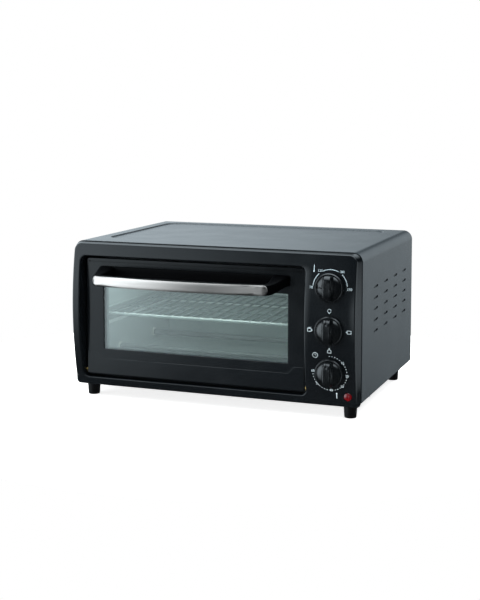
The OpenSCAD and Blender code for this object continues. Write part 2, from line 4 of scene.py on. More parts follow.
import bmesh
import bpy
from mathutils import Euler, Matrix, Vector


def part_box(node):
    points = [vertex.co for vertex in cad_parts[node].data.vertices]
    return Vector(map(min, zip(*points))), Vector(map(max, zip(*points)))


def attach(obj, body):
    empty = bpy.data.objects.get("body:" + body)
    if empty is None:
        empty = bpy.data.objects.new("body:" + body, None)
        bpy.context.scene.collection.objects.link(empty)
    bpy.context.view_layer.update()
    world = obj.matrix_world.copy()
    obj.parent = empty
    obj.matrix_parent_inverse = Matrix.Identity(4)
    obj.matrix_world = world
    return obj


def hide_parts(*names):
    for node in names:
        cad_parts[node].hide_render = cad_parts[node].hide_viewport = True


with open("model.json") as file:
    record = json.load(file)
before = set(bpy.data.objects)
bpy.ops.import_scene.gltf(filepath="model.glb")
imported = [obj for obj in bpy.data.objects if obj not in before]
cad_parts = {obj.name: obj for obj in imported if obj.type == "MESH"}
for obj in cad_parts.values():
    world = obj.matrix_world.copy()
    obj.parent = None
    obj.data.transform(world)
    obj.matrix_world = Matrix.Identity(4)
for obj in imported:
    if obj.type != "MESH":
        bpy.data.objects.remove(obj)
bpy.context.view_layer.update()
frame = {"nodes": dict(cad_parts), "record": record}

scene = bpy.context.scene
MM = 0.001

# ---------------------------------------------------------------- places, from the frame
WRAP0, WRAP1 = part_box("outer_wrap")
FRONT0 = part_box("front_frame")[0]
DOOR0, DOOR1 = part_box("door_frame")
TRIM0, TRIM1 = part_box("handle_trim")
GLASS0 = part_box("door_glass")[0]
RACK0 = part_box("wire_rack")[0]
YF, YR = WRAP0.y, WRAP1.y
HALF, TOP, BASE = WRAP1.x, WRAP1.z, WRAP0.z
CROWN_Y, CROWN_Z, CURVE_R = FRONT0.y, 118 * MM, 0.4
RIB_Z = 92.25 * MM      # the liner's pressed rib
PRINT_LIFT = 0.12 * MM  # the print stands this far off the curved face


def face_y(z):
    """The front frame's curved face at height z."""
    return CROWN_Y + (z - CROWN_Z) ** 2 / (2 * CURVE_R)


# ---------------------------------------------------------------- mesh helpers
def ring(x0, z0, x1, z1, r, seg=8, nh=1, nv=1):
    """A rounded rectangle. Loops with the same seg, nh and nv have matching points."""
    corners = (
        (x1 - r, z0 + r, -90, nv),
        (x1 - r, z1 - r, 0, nh),
        (x0 + r, z1 - r, 90, nv),
        (x0 + r, z0 + r, 180, nh),
    )
    arcs = []
    for cx, cz, a0, _ in corners:
        turn = [radians(a0 + 90 * k / seg) for k in range(seg + 1)]
        arcs.append([(cx + r * cos(a), cz + r * sin(a)) for a in turn])
    points = []
    for i, arc in enumerate(arcs):
        points += arc
        a, b, n = arc[-1], arcs[(i + 1) % 4][0], corners[i][3]
        points += [
            (a[0] + (b[0] - a[0]) * k / n, a[1] + (b[1] - a[1]) * k / n)
            for k in range(1, n)
        ]
    return points


def at(points, y):
    return [(x, y, z) for x, z in points]


def mix(a, b, t):
    return [tuple(p + (q - p) * t for p, q in zip(u, v)) for u, v in zip(a, b)]


def loft(bm, loops, closed=True, around=False, first=False, last=False):
    rows = [[bm.verts.new(p) for p in loop] for loop in loops]
    pairs = list(zip(rows, rows[1:]))
    if around:
        pairs.append((rows[-1], rows[0]))
    n = len(rows[0])
    for a, b in pairs:
        for k in range(n if closed else n - 1):
            j = (k + 1) % n
            bm.faces.new((a[k], a[j], b[j], b[k]))
    if first:
        bm.faces.new(rows[0][::-1])
    if last:
        bm.faces.new(rows[-1])
    return rows


def box_at(bm, lo, hi):
    corners = [
        bm.verts.new((x, y, z))
        for x in (lo[0], hi[0])
        for y in (lo[1], hi[1])
        for z in (lo[2], hi[2])
    ]
    for f in ((0, 1, 3, 2), (4, 6, 7, 5), (0, 4, 5, 1), (2, 3, 7, 6), (0, 2, 6, 4), (1, 5, 7, 3)):
        bm.faces.new([corners[i] for i in f])


def lathe(bm, x, z, line, seg=32):
    """A turned solid along the depth, from pairs of radius and y."""
    turn = [2 * pi * k / seg for k in range(seg)]
    loops = [[(x + r * cos(a), y, z + r * sin(a)) for a in turn] for r, y in line]
    loft(bm, loops, first=True, last=True)


def new_object(name, bm, weld=1e-6):
    bmesh.ops.remove_doubles(bm, verts=bm.verts, dist=weld)
    bmesh.ops.recalc_face_normals(bm, faces=bm.faces)
    mesh = bpy.data.meshes.new(name)
    bm.to_mesh(mesh)
    bm.free()
    obj = bpy.data.objects.new(name, mesh)
    scene.collection.objects.link(obj)
    return obj


def freeze(obj):
    """Applies the object's modifiers."""
    graph = bpy.context.evaluated_depsgraph_get()
    mesh = bpy.data.meshes.new_from_object(obj.evaluated_get(graph))
    old = obj.data
    obj.modifiers.clear()
    obj.data = mesh
    bpy.data.meshes.remove(old)


def solidify(obj, thickness):
    m = obj.modifiers.new("wall", "SOLIDIFY")
    m.thickness = thickness
    m.offset = -1
    freeze(obj)


def cut(obj, bm):
    tool = new_object("tool", bm)
    m = obj.modifiers.new("cut", "BOOLEAN")
    m.operation = "DIFFERENCE"
    m.solver = "EXACT"
    m.object = tool
    freeze(obj)
    bpy.data.objects.remove(tool)


def bevel(obj, width, angle=50, segments=2):
    m = obj.modifiers.new("edge", "BEVEL")
    m.width = width
    m.segments = segments
    m.limit_method = "ANGLE"
    m.angle_limit = radians(angle)
    m.use_clamp_overlap = True


def smooth(obj, angle=35):
    obj.data.shade_smooth()
    obj.data.set_sharp_from_angle(angle=radians(angle))


def place(obj, body, slot, *nodes):
    obj.data.materials.clear()
    obj.data.materials.append(MATERIALS[slot])
    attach(obj, body)
    if nodes:
        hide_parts(*nodes)
    return obj


# ---------------------------------------------------------------- materials
class Nodes:
    def __init__(self, name):
        self.mat = bpy.data.materials.new(name)
        self.mat.use_nodes = True
        self.tree = self.mat.node_tree
        self.shader = self.tree.nodes["Principled BSDF"]
        self.coord = self.new("ShaderNodeTexCoord").outputs["Object"]

    def new(self, kind, **values):
        node = self.tree.nodes.new(kind)
        for key, value in values.items():
            setattr(node, key, value)
        return node

    def link(self, a, b):
        self.tree.links.new(a, b)

    def noise(self, scale, stretch=(1, 1, 1), detail=3.0, rough=0.5):
        mapping = self.new("ShaderNodeMapping")
        mapping.inputs["Scale"].default_value = stretch
        self.link(self.coord, mapping.inputs["Vector"])
        node = self.new("ShaderNodeTexNoise")
        node.inputs["Scale"].default_value = scale
        node.inputs["Detail"].default_value = detail
        node.inputs["Roughness"].default_value = rough
        self.link(mapping.outputs[0], node.inputs["Vector"])
        return node.outputs["Fac"]

    def span(self, value, lo, hi, a=0.3, b=0.7):
        node = self.new("ShaderNodeMapRange")
        for key, number in zip(("From Min", "From Max", "To Min", "To Max"), (a, b, lo, hi)):
            node.inputs[key].default_value = number
        self.link(value, node.inputs["Value"])
        return node.outputs[0]

    def blend(self, fac, a, b):
        node = self.new("ShaderNodeMix", data_type="RGBA")
        node.inputs[6].default_value = (*a, 1)
        node.inputs[7].default_value = (*b, 1)
        self.link(fac, node.inputs[0])
        return node.outputs[2]

    def bump(self, height, strength, distance):
        node = self.new("ShaderNodeBump")
        node.inputs["Strength"].default_value = strength
        node.inputs["Distance"].default_value = distance
        self.link(height, node.inputs["Height"])
        self.link(node.outputs[0], self.shader.inputs["Normal"])


def surface(
    name, colour, rough, metal=0.0, vary=0.12, patch=18, grain=900, stretch=(1, 1, 1),
    relief=0.1, depth=0.00005, spread=0.04, **sockets
):
    """One finish: patches of colour, patches of roughness, and a fine bump."""
    n = Nodes(name)
    lo = tuple(c * (1 - vary) for c in colour)
    hi = tuple(min(1, c * (1 + vary)) for c in colour)
    patches = n.span(n.noise(patch, stretch), 0, 1)
    n.link(n.blend(patches, lo, hi), n.shader.inputs["Base Color"])
    fine = n.noise(grain, stretch, detail=2.0)
    worn = n.span(n.noise(patch * 2.7, stretch), rough - spread, rough + spread)
    n.link(worn, n.shader.inputs["Roughness"])
    n.bump(fine, relief, depth)
    n.shader.inputs["Metallic"].default_value = metal
    for key, value in sockets.items():
        n.shader.inputs[key.replace("_", " ")].default_value = value
    return n.mat


def glass(name, tint, film, cloud=0.075, index=1.85):
    """A thin, slightly hazy pane: tinted light passes, and it mirrors more at a slant."""
    n = Nodes(name)
    n.tree.nodes.remove(n.shader)
    through = n.new("ShaderNodeBsdfTransparent")
    patches = n.span(n.noise(14), 0.96, 1.0)
    n.link(n.blend(patches, (0, 0, 0), tint), through.inputs["Color"])
    mirror = n.new("ShaderNodeBsdfGlossy")
    mirror.inputs["Color"].default_value = (*film, 1)
    n.link(n.span(n.noise(30), 0.02, 0.06), mirror.inputs["Roughness"])
    slant = n.new("ShaderNodeFresnel")
    slant.inputs["IOR"].default_value = index
    haze = n.new("ShaderNodeBsdfDiffuse")
    haze.inputs["Color"].default_value = (0.55, 0.66, 0.66, 1)
    hazed = n.new("ShaderNodeMixShader")
    hazed.inputs[0].default_value = cloud
    n.link(through.outputs[0], hazed.inputs[1])
    n.link(haze.outputs[0], hazed.inputs[2])
    both = n.new("ShaderNodeMixShader")
    n.link(slant.outputs[0], both.inputs[0])
    n.link(hazed.outputs[0], both.inputs[1])
    n.link(mirror.outputs[0], both.inputs[2])
    out = n.tree.nodes["Material Output"]
    n.link(both.outputs[0], out.inputs["Surface"])
    return n.mat


def painted_band(name, colour, highlight_colour, axis, lo, hi, rough):
    """Sheet or wire with a painted highlight: its colour is made bright between lo and hi along one
    axis.
    """
    mat = surface(name, colour, rough, metal=0.1, vary=0.06, patch=24, grain=500,
                  stretch=(1, 0.2, 1), relief=0.06)
    tree = mat.node_tree
    shader = tree.nodes["Principled BSDF"]
    plain = shader.inputs["Base Color"].links[0].from_socket
    split = tree.nodes.new("ShaderNodeSeparateXYZ")
    tree.links.new(tree.nodes["Texture Coordinate"].outputs["Object"], split.inputs[0])
    band = tree.nodes.new("ShaderNodeMath")
    band.operation = "COMPARE"
    band.inputs[1].default_value = (lo + hi) / 2
    band.inputs[2].default_value = (hi - lo) / 2
    tree.links.new(split.outputs[axis], band.inputs[0])
    both = tree.nodes.new("ShaderNodeMix")
    both.data_type = "RGBA"
    both.inputs[7].default_value = (*highlight_colour, 1)
    tree.links.new(band.outputs[0], both.inputs[0])
    tree.links.new(plain, both.inputs[6])
    tree.links.new(both.outputs[2], shader.inputs["Base Color"])
    return mat


# Painted highlight: the bright colour put on the liner's rib and on the rack's front edge, where light
# catches them
PAINTED_HIGHLIGHT = (0.97, 0.98, 0.97)
MATERIALS = {
    "case_paint": surface("case_paint", (0.014, 0.018, 0.021), 0.25, patch=9, grain=300, relief=0.015,
                          depth=0.00003, spread=0.015, Specular_IOR_Level=0.4),
    "panel_black": surface("panel_black", (0.016, 0.018, 0.020), 0.45, relief=0.15),
    "front_moulding": surface("front_moulding", (0.004, 0.005, 0.006), 0.155, patch=12, grain=1800,
                              relief=0.05, depth=0.00003, Specular_IOR_Level=0.34),
    "front_sheet": surface("front_sheet", (0.010, 0.010, 0.011), 0.5, relief=0.15),
    "zinc_sheet": surface("zinc_sheet", (0.50, 0.53, 0.54), 0.42, metal=1.0, vary=0.2, patch=60,
                          grain=300),
    # cavity_sheet: a painted highlight, a bright band along the liner's rib at RIB_Z
    "cavity_sheet": painted_band("cavity_sheet", (0.46, 0.49, 0.485), PAINTED_HIGHLIGHT, 2, RIB_Z - 2.25 * MM,
                           RIB_Z + 2.25 * MM, 0.5),
    # rack_wire: painted highlight, the rack's front edge (to 6 mm behind its front) made bright as if
    # lit from the front; the wires behind keep the plain colour
    "rack_wire": painted_band("rack_wire", (0.22, 0.24, 0.24), PAINTED_HIGHLIGHT, 1, -1.0, RACK0.y + 6 * MM, 0.35),
    "heater_sheath": surface("heater_sheath", (0.20, 0.21, 0.21), 0.5, metal=0.2, vary=0.15, patch=30,
                             stretch=(0.3, 1, 1)),
    "ceramic": surface("ceramic", (0.80, 0.78, 0.72), 0.6, vary=0.05, patch=80, relief=0.3),
    "door_moulding": surface("door_moulding", (0.004, 0.005, 0.006), 0.16, patch=12, grain=1800,
                             relief=0.03, depth=0.00003, Specular_IOR_Level=0.34),
    "window_glass": glass("window_glass", (0.90, 0.97, 0.95), (1.0, 1.0, 1.0)),
    "retainer_steel": surface("retainer_steel", (0.09, 0.11, 0.12), 0.4, metal=0.3, patch=30),
    "handle_moulding": surface("handle_moulding", (0.0008, 0.0008, 0.001), 0.4, patch=30, grain=1500,
                               Specular_IOR_Level=0.04),
    "handle_steel": surface("handle_steel", (0.47, 0.43, 0.405), 0.36, metal=1.0, vary=0.05, patch=500,
                            grain=1600, stretch=(0.02, 1, 1), relief=0.12, depth=0.00002,
                            Anisotropic=0.85, Anisotropic_Rotation=0.25),
    "screw_steel": surface("screw_steel", (0.52, 0.53, 0.55), 0.32, metal=1.0, patch=120),
    "hinge_brass": surface("hinge_brass", (0.66, 0.45, 0.16), 0.28, metal=1.0, patch=120),
    "knob_gloss": surface("knob_gloss", (0.003, 0.0035, 0.004), 0.17, patch=60, grain=1600, relief=0.04,
                          depth=0.00002, Specular_IOR_Level=0.4),
    "shaft_steel": surface("shaft_steel", (0.58, 0.59, 0.60), 0.3, metal=1.0, patch=120),
    "switch_black": surface("switch_black", (0.03, 0.03, 0.033), 0.55, patch=60, relief=0.25),
    "indicator_red": surface("indicator_red", (0.10, 0.0005, 0.002), 0.16, vary=0.15, patch=300,
                             Subsurface_Weight=0.15, Subsurface_Scale=0.002),
    "lamp_glass": surface("lamp_glass", (0.9, 0.6, 0.5), 0.1, patch=300, Alpha=0.6),
    "foot_black": surface("foot_black", (0.003, 0.003, 0.0035), 0.5, patch=120, relief=0.3,
                          depth=0.0001, Specular_IOR_Level=0.12),
    "gland_black": surface("gland_black", (0.014, 0.014, 0.015), 0.45, patch=120, relief=0.2),
    "wire_sleeve": surface("wire_sleeve", (0.72, 0.70, 0.64), 0.8, patch=200, grain=1200, relief=0.5,
                           depth=0.0003),
}
DIAL_WHITE = surface("dial_white", (0.50, 0.57, 0.59), 0.5, vary=0.1, patch=200, relief=0.05)


# ---------------------------------------------------------------- the outer wrap
def build_wrap():
    r, roll = 12 * MM, 1.2 * MM
    back = YR - roll
    sink = (-169 * MM, YF + 36 * MM, 161 * MM, YR - 13 * MM)
    turn = 22 * MM
    nh, nv = 6, 5

    def sink_ring(grow):
        return ring(
            sink[0] - grow, sink[1] - grow, sink[2] + grow, sink[3] + grow, turn + grow, 8, nh, nv
        )

    bm = bmesh.new()
    # The pressed step of the top panel, from its floor up to the rim
    depth, reach, steps = 1.4 * MM, 0.9 * MM, 10
    loops = [[(x, y, TOP - depth) for x, y in sink_ring(-6 * MM)]]
    for k in range(steps + 1):
        t = k / steps
        z = TOP - depth * (1 + cos(pi * t)) / 2
        loops.append([(x, y, z) for x, y in sink_ring(reach * (2 * t - 1))])
    # Out to the flat top's edges: the corner arcs gather into the four corners
    edge = []
    x_edge = HALF - r
    for x, y in sink_ring(0):
        straight_x = sink[0] + turn + 1e-6 < x < sink[2] - turn - 1e-6
        straight_y = sink[1] + turn + 1e-6 < y < sink[3] - turn - 1e-6
        ex = x if straight_x else (x_edge if x > 0 else -x_edge)
        ey = y if straight_y else (back if y > (YF + YR) / 2 else YF)
        edge.append((ex, ey, TOP))
    loops.append(edge)
    loft(bm, loops, first=True)

    # The folded sides, with the same stations along the depth
    stations = sorted({round(p[1], 7) for p in edge})
    cross = []
    for k in range(13):
        a = radians(90 * k / 12)
        cross.append((HALF - r + r * sin(a), TOP - r + r * cos(a), sin(a), cos(a)))
    lip = 1 * MM
    cross.append((HALF, BASE + lip, 1, 0))
    for k in range(1, 5):
        a = radians(90 * k / 4)
        cross.append((HALF - lip + lip * cos(a), BASE + lip - lip * sin(a), cos(a), -sin(a)))
    cross.append((HALF - 8 * MM, BASE, 0, -1))
    for side in (-1, 1):
        loft(
            bm,
            [[(side * x, y, z) for x, z, _, _ in cross] for y in stations],
            closed=False,
        )
    # The rear edge, rolled in to a narrow flange round the two sides and the top
    top_line = sorted({round(p[0], 7) for p in edge})
    arch = [(-x, z, -nx, nz) for x, z, nx, nz in cross[13::-1]]
    arch += [(x, TOP, 0, 1) for x in top_line[1:-1]]
    arch += cross[:14]
    loops = []
    for k in range(6):
        a = radians(90 * k / 5)
        inset = roll * (1 - cos(a))
        loops.append([(x - nx * inset, back + roll * sin(a), z - nz * inset) for x, z, nx, nz in arch])
    loops.append([(x - nx * 10 * MM, YR, z - nz * 10 * MM) for x, z, nx, nz in arch])
    loft(bm, loops, closed=False)
    wrap = new_object("outer_wrap_skin", bm, 2e-6)
    solidify(wrap, 1 * MM)

    # Louvres in the right side: slots, each with a flap behind it
    first_y, first_z, pitch_y, pitch_z = YF + 55 * MM, 99.5 * MM, 51.5 * MM, 14.1 * MM
    louvres = [
        (first_y + column * pitch_y, first_z + row * pitch_z)
        for row in range(5)
        for column in range(4)
    ]
    tools = bmesh.new()
    for y, z in louvres:
        slot = ring(y, z, y + 20 * MM, z + 3 * MM, 1.4 * MM, 6)
        sides = (HALF - 4 * MM, HALF + 4 * MM)
        loft(tools, [[(x, p, q) for p, q in slot] for x in sides], first=True, last=True)
    cut(wrap, tools)
    bevel(wrap, 0.35 * MM, 55)
    freeze(wrap)
    bm = bmesh.new()
    bm.from_mesh(wrap.data)
    flap = ((0.95, 3.2), (1.05, 2.7), (1.1, 1.7), (1.2, 0.7), (1.3, -0.3), (1.3, -0.6))
    for y, z in louvres:
        ends = (y - 0.4 * MM, y + 20.4 * MM)
        loft(
            bm,
            [[(HALF - inset * MM, p, z + up * MM) for p in ends] for inset, up in flap],
            closed=False,
        )
    bm.to_mesh(wrap.data)
    bm.free()
    smooth(wrap, 40)
    m = wrap.modifiers.new("normals", "WEIGHTED_NORMAL")
    m.keep_sharp = True
    return place(wrap, "case", "case_paint", "outer_wrap")


# ---------------------------------------------------------------- the front moulding
OPEN = (-181 * MM, 27.5 * MM, 126.5 * MM, 188.4 * MM, 8 * MM)


def build_front():
    nh, nv, seg = 14, 16, 8
    sheet = 2.6 * MM

    def outer(top, side, low):
        """The outline drawn in by so many mm: tighter corners below than above."""
        x, z0, z1 = HALF - side * MM, FRONT0.z + low * MM, TOP - top * MM
        left = -HALF + 0.85 * side * MM
        high = ring(left, z0, x, z1, (12 - top) * MM, seg, nh, nv)
        tight = ring(left, z0, x, z1, (6 - low) * MM, seg, nh, nv)
        points = []
        for a, b in zip(tight, high):
            # From the tight corners to the wide ones, over the middle of the height
            share = min(1, max(0, 2.5 * (b[1] - z0) / (z1 - z0) - 0.5))
            points += mix([a], [b], share)
        return points

    def mouth(grow):
        x0, z0, x1, z1, r = OPEN
        return ring(x0 - grow, z0 - grow, x1 + grow, z1 + grow, r + grow, seg, nh, nv)

    def on_face(points, back=0.0):
        return [(x, face_y(z) + back, z) for x, z in points]

    # The shadow gap behind the rim, then the drafted flank, its rounded edge and the face
    soft, lip = 1.3 * MM, 1.2 * MM
    rear, front_edge, face_edge = outer(1.3, 0.8, 0.6), outer(2.4, 4.6, 1.2), outer(3.6, 6.0, 2.4)
    gap, y_rear = outer(3.4, 3.4, 2.6), YF - 1.8 * MM
    loops = [at(gap, YF + 4.5 * MM), at(gap, YF - 1.6 * MM)]
    for t in (0, 0.33, 0.67, 1):
        flank = mix(rear, front_edge, t)
        loops.append([(x, y_rear + (face_y(z) + soft - y_rear) * t, z) for x, z in flank])
    for k in range(1, 7):
        a = radians(90 * k / 6)
        loops.append(on_face(mix(front_edge, face_edge, 1 - cos(a)), soft * (1 - sin(a))))
    loops += [on_face(mix(face_edge, mouth(lip), k / 8)) for k in range(1, 9)]
    # The mouth's rounded edge and its wall, then back round the inside
    for k in range(1, 6):
        t = radians(90 * k / 5)
        loops.append(on_face(mouth(lip * (1 - sin(t))), lip * (1 - cos(t))))
    back, wall = YF + 12 * MM, mouth(2.5 * MM)
    loops += [at(mouth(0), back), at(wall, back)]
    rim, inner = outer(5.5, 8, 4.4), outer(5, 5.5, 4.4)
    loops += [on_face(mix(wall, rim, k / 6), sheet) for k in range(7)]
    loops += [at(inner, YF - 1.0 * MM), at(inner, YF + 4.5 * MM)]
    bm = bmesh.new()
    loft(bm, loops, around=True)
    front = new_object("front_frame_skin", bm)

    tools = bmesh.new()
    for n in ("thermostat_shaft", "function_shaft", "timer_shaft"):
        lo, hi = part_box(n)
        mid = (lo + hi) / 2
        lathe(tools, mid.x, mid.z, [(4.2 * MM, YF - 30 * MM), (4.2 * MM, YF)])
    lo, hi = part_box("indicator_lens")
    mid = (lo + hi) / 2
    r = (hi.x - lo.x) / 2 + 0.25 * MM
    lathe(tools, mid.x, mid.z, [(r, YF - 30 * MM), (r, YF + 1 * MM)], 40)
    cut(front, tools)
    smooth(front, 40)
    return place(front, "case", "front_moulding", "front_frame")


# ---------------------------------------------------------------- the door
WINDOW = (-153 * MM, 65 * MM, 100.6 * MM, 152 * MM)


def build_door():
    y0 = YF - 3 * MM
    y1 = DOOR1.y
    x0, z0, x1, z1 = DOOR0.x, DOOR0.z, DOOR1.x, DOOR1.z

    def outline(inset):
        return ring(x0 + inset, z0 + inset, x1 - inset, z1 - inset, 4.5 * MM - inset, 8, 8, 8)

    def window(grow):
        a, b, c, d = WINDOW
        return ring(a - grow, b - grow, c + grow, d + grow, 1.2 * MM + grow, 8, 8, 8)

    soft, lip = 1.2 * MM, 0.7 * MM
    loops = [at(outline(0), y1)]
    for k in range(7):
        a = radians(90 * k / 6)
        loops.append(at(outline(soft * (1 - cos(a))), y0 + soft * (1 - sin(a))))
    loops.append(at(window(lip), y0))
    for k in range(1, 5):
        a = radians(90 * k / 4)
        loops.append(at(window(lip * (1 - sin(a))), y0 + lip * (1 - cos(a))))
    y_glass = GLASS0.y - 0.03 * MM
    loops += [at(window(0), y_glass), at(window(7 * MM), y_glass), at(window(7 * MM), y1)]
    bm = bmesh.new()
    loft(bm, loops, around=True)
    door = new_object("door_surround", bm)
    tools = bmesh.new()
    groove = (x0 + 4 * MM, y0 - 2 * MM, z1 - 5.2 * MM), (x1 - 4 * MM, y0 + 2 * MM, z1 - 3.9 * MM)
    box_at(tools, *groove)
    cut(door, tools)
    bevel(door, 0.2 * MM, 60)
    freeze(door)

    # The raised field under the window, with slanted ends
    zs, zm = 61.5 * MM, 53 * MM
    step = 0.9 * MM
    shape = [
        (x0 + 1.2 * MM, z0 + 1.2 * MM), (x1 - 1.2 * MM, z0 + 1.2 * MM), (x1 - 1.2 * MM, zs),
        (x1 - 14.5 * MM, zs), (x1 - 22.5 * MM, zm), (x0 + 23 * MM, zm), (x0 + 15 * MM, zs),
        (x0 + 1.2 * MM, zs),
    ]
    bm = bmesh.new()
    loft(bm, [at(shape, y0 + 0.4 * MM), at(shape, y0 - step)], first=True, last=True)
    field = new_object("door_field", bm)
    bevel(field, 0.8 * MM, 60, 3)
    freeze(field)
    bm = bmesh.new()
    for o in (door, field):
        bm.from_mesh(o.data)
        bpy.data.objects.remove(o)
    door = new_object("door_front", bm, 1e-9)
    smooth(door, 35)
    m = door.modifiers.new("normals", "WEIGHTED_NORMAL")
    m.keep_sharp = True
    return place(door, "door", "door_moulding", "door_frame")


# ---------------------------------------------------------------- the handle
CX = (DOOR0.x + DOOR1.x) / 2
BAR_Z = (TRIM0.z + TRIM1.z) / 2
BAR_Y = TRIM0.y


def handle_path():
    """The bar's outer face, from its middle to its right foot: x, y and the angle turned."""
    bow, turn, far = 713 * MM, 12 * MM, radians(72)
    half = 111 * MM
    points = []
    for k in range(15):
        a = asin(half * k / 14 / bow)
        points.append((bow * sin(a), BAR_Y + bow * (1 - cos(a)), a))
    x, y, a0 = points[-1]
    for k in range(1, 13):
        a = a0 + (far - a0) * k / 12
        points.append((x + turn * (sin(a) - sin(a0)), y + turn * (cos(a0) - cos(a)), a))
    x, y, a = points[-1]
    y_end = YF - 3.4 * MM
    for k in range(1, 9):
        t = k / 8
        points.append((x + (y_end - y) * t / sin(a) * cos(a), y + (y_end - y) * t, a))
    return points


def build_handle():
    right = handle_path()
    n_free = 27
    rise = 6 * MM
    half_h = 6.75 * MM
    thick = 11 * MM
    skin = 1.2 * MM
    back = YF - 3.2 * MM
    strip_stations = 22
    stations = []
    for i, (x, y, a) in enumerate(right):
        t = max(0, (i - n_free + 1) / (len(right) - n_free))
        lift = rise * t * t * (3 - 2 * t)
        stations.append((x, y, a, lift))
    path = [(-x, y, -a, s) for x, y, a, s in stations[:0:-1]] + stations
    corner = 2.2 * MM
    profile = ring(skin, -half_h, thick, half_h, corner, 4, 2, 2)
    loops = []
    for x, y, a, lift in path:
        wide = 1 + 1.3 * lift / rise
        loops.append([
            (CX + x - sin(a) * d * wide, min(y + cos(a) * d * wide, back), BAR_Z + lift + z)
            for d, z in profile
        ])
    bm = bmesh.new()
    loft(bm, loops, first=True, last=True)
    # The flange on the door, with round ends
    z = BAR_Z + rise
    y0 = YF - 3 * MM
    end = 131 * MM

    def flange(inset, y):
        x, h = end - inset, 6.5 * MM - inset
        return at(ring(CX - x, z - h, CX + x, z + h, 6.4 * MM - inset, 10), y)

    loops = [flange(0, y0)]
    for k in range(5):
        a = radians(90 * k / 4)
        loops.append(flange(MM * (1 - cos(a)), y0 - 3 * MM + MM * (1 - sin(a))))
    loft(bm, loops, first=True, last=True)
    body = new_object("handle_bracket", bm)
    smooth(body, 40)
    place(body, "door", "handle_moulding", "handle_body")

    # The steel strip, bent round both ends of the bar
    lengths = [0.0]
    bar = stations[:strip_stations]
    for p, q in zip(bar, bar[1:]):
        lengths.append(lengths[-1] + hypot(q[0] - p[0], q[1] - p[1]))
    total = lengths[-1]
    high, round_end, rows = 6.35 * MM, 5.6 * MM, 10
    line = []
    for k in range(61):
        s = total * (1 - (1 - k / 60) ** 1.6)
        i = max(j for j in range(len(lengths)) if lengths[j] <= s + 1e-12)
        i = min(i, len(lengths) - 2)
        t = (s - lengths[i]) / (lengths[i + 1] - lengths[i])
        p, q = bar[i], bar[i + 1]
        x, y, a = (p[j] + (q[j] - p[j]) * t for j in range(3))
        left = total - s
        h = high
        if left < round_end:
            h += sqrt(max(0, round_end ** 2 - (round_end - left) ** 2)) - round_end
        line.append((x, y, a, max(h, 0.3 * MM)))
    line = [(-x, y, -a, h) for x, y, a, h in line[:0:-1]] + line
    bm = bmesh.new()
    loops = []
    for x, y, a, h in line:
        points = []
        for k in range(rows + 1):
            u = 2 * k / rows - 1
            d = 0.9 * MM * abs(u) ** 6
            points.append((CX + x - sin(a) * d, y + cos(a) * d, BAR_Z + u * h))
        loops.append(points)
    loft(bm, loops, closed=False)
    trim = new_object("handle_strip", bm, 1e-9)
    solidify(trim, 1.1 * MM)
    smooth(trim, 50)
    place(trim, "door", "handle_steel", "handle_trim")


# ---------------------------------------------------------------- knobs
def build_knob(name, node, body, pointer):
    lo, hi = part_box(node)
    mid = (lo + hi) / 2
    back, length, radius = hi.y, hi.y - lo.y, 0.95 * (hi.x - lo.x) / 2
    ux, uz = sin(radians(pointer)), cos(radians(pointer))

    def step(a, b, v):
        t = min(1, max(0, (v - a) / (b - a)))
        return t * t * (3 - 2 * t)

    def height(x, z):
        r = hypot(x, z)
        inner = radius - 2.6 * MM
        skirt = 3.6 * MM - 1.4 * MM * step(radius - 1.2 * MM, radius, r)
        if r > inner:
            h = skirt - 0.5 * MM * (1 - step(inner, inner + 0.9 * MM, r))
        else:
            h = 3.1 * MM + 5.2 * MM * sqrt(max(0, 1 - (r / inner) ** 2.6))
            wide = 3.0 * MM + 1.6 * MM * (1 - (r / inner) ** 2)
            grip = 1 - step(wide, wide + 3.4 * MM, abs(x))
            fall = sqrt(max(0, 1 - (abs(z) / (inner * 1.12)) ** 5))
            crown = (length - 0.2 * MM) * fall - 0.025 * abs(x)
            h = max(h, h + (crown - h) * grip)
            along, off = x * ux + z * uz, -x * uz + z * ux
            groove = step(8.6 * MM, 9.4 * MM, along) * (1 - step(0.7 * MM, 1.1 * MM, abs(off)))
            h -= 1.2 * MM * groove
        return h

    bm = bmesh.new()
    turns, steps = 144, 34
    loops = []
    for i in range(1, steps + 1):
        r = radius * sin(pi / 2 * (i / steps) ** 0.9)
        loops.append([
            (mid.x + r * cos(a), back - height(r * cos(a), r * sin(a)), mid.z + r * sin(a))
            for a in (2 * pi * k / turns for k in range(turns))
        ])
    edge = loops[-1]
    loops.append([(x, back, z) for x, _, z in edge])
    rows = loft(bm, loops, last=True)
    centre = bm.verts.new((mid.x, back - height(0, 0), mid.z))
    for k in range(turns):
        bm.faces.new((centre, rows[0][k], rows[0][(k + 1) % turns]))
    knob = new_object(name, bm)
    smooth(knob, 50)
    return place(knob, body, "knob_gloss", node)


# ---------------------------------------------------------------- feet and lamp
def build_foot(name, node):
    lo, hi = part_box(node)
    mid = (lo + hi) / 2
    r1 = (hi.x - lo.x) / 2
    r0 = r1 - 1.4 * MM
    h = hi.z - lo.z
    toe = 1.2 * MM
    line = [(3.6 * MM, 4 * MM), (3.6 * MM, 0.4 * MM), (4.0 * MM, 0)]
    for t in range(0, 91, 18):
        line.append((r0 - toe + toe * sin(radians(t)), toe - toe * cos(radians(t))))
    line += [(r0 + (r1 - r0) * t, toe + (h - 3.4 * MM) * t) for t in (0.35, 0.7, 1.0)]
    line += [(r1, h - 1.2 * MM), (r1 - 0.4 * MM, h), (2 * MM, h)]
    bm = bmesh.new()
    turn = [2 * pi * k / 40 for k in range(40)]
    loops = [[(mid.x + r * cos(a), mid.y + r * sin(a), lo.z + z) for a in turn] for r, z in line]
    loft(bm, loops, first=True, last=True)
    foot = new_object(name, bm)
    smooth(foot, 40)
    return place(foot, "case", "foot_black", node)


